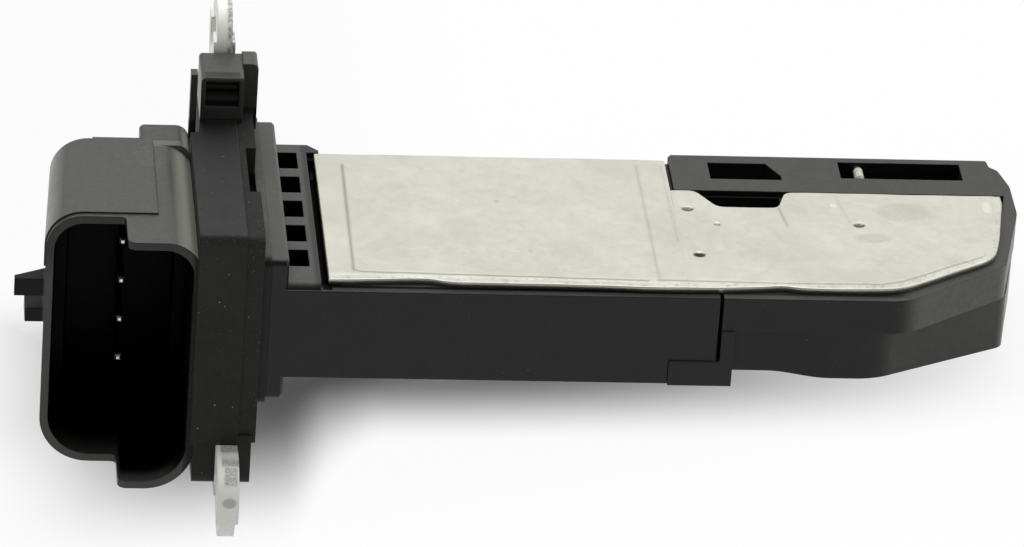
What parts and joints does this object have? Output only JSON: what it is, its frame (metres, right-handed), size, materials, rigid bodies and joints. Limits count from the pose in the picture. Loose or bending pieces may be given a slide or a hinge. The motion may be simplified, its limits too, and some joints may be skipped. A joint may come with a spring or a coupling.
{
  "type": "mass airflow sensor",
  "caption": "Plug-in mass airflow sensor: flange with diagonal screw ears, side-facing wiring socket and a flat blade with a metal cover plate and a bypass air channel in its tip.",
  "frame": {"origin": "midway between the two screw holes, on the ear face that lies on the duct", "axes": "+X from the flange along the blade to its tip, +Z towards the metal cover plate's outer face, and the wiring socket's mouth faces -Y"},
  "size_m": [0.1129, 0.0514, 0.0448],
  "materials": {
    "body_plastic": "moulded black, slightly glossy",
    "housing_plastic": "moulded black, satin",
    "cover_plastic": "moulded black, slightly glossy",
    "plate_metal": "pressed sheet, satin with faint smudges",
    "ear_steel": "zinc plated stamping, dull, torn edge",
    "seal_rubber": "moulded rubber, dull",
    "terminal_metal": "tin plated brass",
    "sealant": "cured silicone bead",
    "pad_grey": "heat conducting adhesive",
    "board": "fired ceramic board",
    "chip_black": "moulded chip package",
    "capacitor_ceramic": "ceramic capacitor",
    "carrier_plastic": "moulded carrier",
    "sensing_element": "silicon with a thin film",
    "ribbon_aluminium": "bonded ribbon",
    "strip_brass": "stamped strip",
    "lead_wire": "plated wire",
    "bead_glass": "glass body"
  },
  "bodies": {
    "root": {"bypass_cover": "cover_plastic", "bypass_housing": "housing_plastic", "capacitor_1": "capacitor_ceramic", "capacitor_2": "capacitor_ceramic", "capacitor_3": "capacitor_ceramic", "carrier_ribbon_1": "ribbon_aluminium", "carrier_ribbon_2": "ribbon_aluminium", "carrier_ribbon_3": "ribbon_aluminium", "circuit_board": "board", "control_chip": "chip_black", "cover_plate": "plate_metal", "mounting_plate": "ear_steel", "plate_sealant": "sealant", "seal_ring": "seal_rubber", "sensing_chip": "sensing_element", "sensor_body": "body_plastic", "sensor_carrier": "carrier_plastic", "terminal_1": "terminal_metal", "terminal_2": "terminal_metal", "terminal_3": "terminal_metal", "terminal_4": "terminal_metal", "terminal_ribbon_1": "ribbon_aluminium", "terminal_ribbon_2": "ribbon_aluminium", "terminal_ribbon_3": "ribbon_aluminium", "terminal_ribbon_4": "ribbon_aluminium", "thermal_pad": "pad_grey", "thermistor_bead": "bead_glass", "thermistor_lead_1": "lead_wire", "thermistor_lead_2": "lead_wire", "thermistor_terminal_1": "strip_brass", "thermistor_terminal_2": "strip_brass"}
  },
  "joints": []
}
